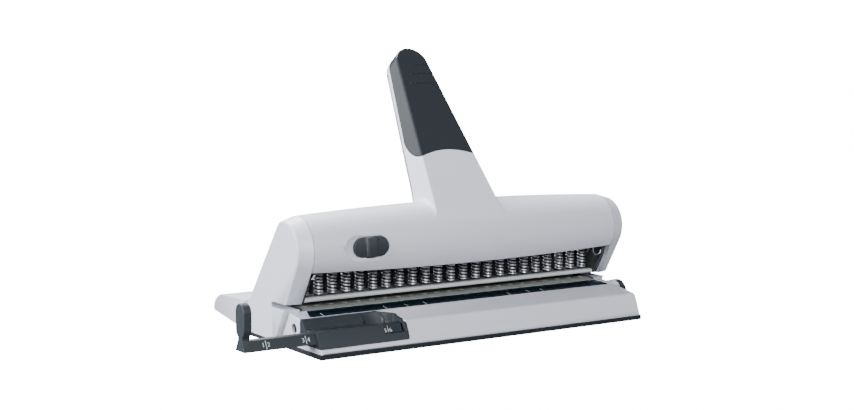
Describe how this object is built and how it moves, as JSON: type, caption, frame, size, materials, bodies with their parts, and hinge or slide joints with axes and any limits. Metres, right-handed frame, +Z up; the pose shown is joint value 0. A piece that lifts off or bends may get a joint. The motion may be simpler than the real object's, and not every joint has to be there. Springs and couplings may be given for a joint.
{
  "type": "manual desk hole punch",
  "caption": "Manual desk punch with a long swinging lever on a barrel, a row of spring-loaded pins over a paper slot, a sliding format guide and a long rear tail.",
  "frame": {"origin": "underside of the base mat, below the middle of the punch row", "axes": "+X to the right along the row of pins, -Y towards the user and the paper side, +Y to the rear tail, +Z up"},
  "size_m": [0.366, 0.2103, 0.2203],
  "materials": {
    "light_housing": "fine satin moulding",
    "dark_housing": "satin dark grey",
    "base_mat": "dark flexible cover",
    "foot_rubber": "soft",
    "grip_rubber": "soft matt dark grey",
    "frame_plate": "grey",
    "bush_bronze": "plain",
    "steel": "turned",
    "screw_steel": "zinc plated",
    "back_paint": "dark",
    "die_steel": "grey green",
    "guide_paint": "dark grey",
    "rail_light": "light grey",
    "scale_black": "near black",
    "stop_steel": "plain",
    "spring_chrome": "bright wire",
    "pin_steel": "ground",
    "bar_steel": "plain",
    "core_steel": "pressed",
    "cam_steel": "hardened"
  },
  "bodies": {
    "frame": {"base_shell": "light_housing", "rear_deck": "light_housing", "rear_foot": "light_housing", "right_end_cap": "light_housing", "left_end_cap": "light_housing", "rear_cover": "light_housing", "guide_holder": "dark_housing", "base_mat": "base_mat", "rubber_feet": "foot_rubber", "right_side_plate": "frame_plate", "left_side_plate": "frame_plate", "right_bush": "bush_bronze", "left_bush": "bush_bronze", "tie_rods": "steel", "tie_screws": "screw_steel", "back_plate": "back_paint", "die_plate": "die_steel", "punch_guide": "guide_paint", "guide_rail": "rail_light", "scale_strip": "scale_black", "punch_springs": "spring_chrome"},
    "lever": {"lever_shell": "light_housing", "lever_grip": "grip_rubber", "lever_rear_cover": "light_housing", "lever_core": "core_steel", "main_shaft": "steel", "shaft_clips": "screw_steel", "cam_1": "cam_steel", "cam_2": "cam_steel", "cam_3": "cam_steel", "cam_4": "cam_steel", "right_return_spring": "spring_chrome", "left_return_spring": "spring_chrome"},
    "lock": {"lock_slider": "dark_housing"},
    "press": {"press_bar": "bar_steel", "punch_pins": "pin_steel"},
    "guide": {"guide_bar": "dark_housing"},
    "margin": {"margin_shaft": "steel", "margin_knob": "dark_housing"},
    "stop": {"margin_stop": "stop_steel"}
  },
  "joints": [
    {"name": "lever_turn", "type": "hinge", "parent": "frame", "child": "lever", "pos_m": [0, -0.0075, 0.074], "axis": [-1, 0, 0], "range_deg": [0, 50], "stiffness_Nm_per_rad": 0.5, "springref_deg": -57.3},
    {"name": "press_stroke", "type": "slide", "parent": "frame", "child": "press", "axis": [0, 0, -1], "range_m": [0, 0.00654], "deforming": ["punch_springs"]},
    {"name": "lock_slide", "type": "slide", "parent": "lever", "child": "lock", "axis": [-1, 0, 0], "range_m": [0, 0.006]},
    {"name": "guide_slide", "type": "slide", "parent": "frame", "child": "guide", "axis": [1, 0, 0], "range_m": [0, 0.098]},
    {"name": "margin_turn", "type": "hinge", "parent": "frame", "child": "margin", "pos_m": [0, -0.0175, 0.0166], "axis": [-1, 0, 0], "range_deg": [0, 90]},
    {"name": "stop_slide", "type": "slide", "parent": "frame", "child": "stop", "axis": [0, 1, 0], "range_m": [0, 0.00198]}
  ],
  "couplings": [
    {"joint": "lever_turn", "follows": "press_stroke", "rad_per_m": 133.33},
    {"joint": "margin_turn", "follows": "stop_slide", "rad_per_m": 793.3}
  ]
}
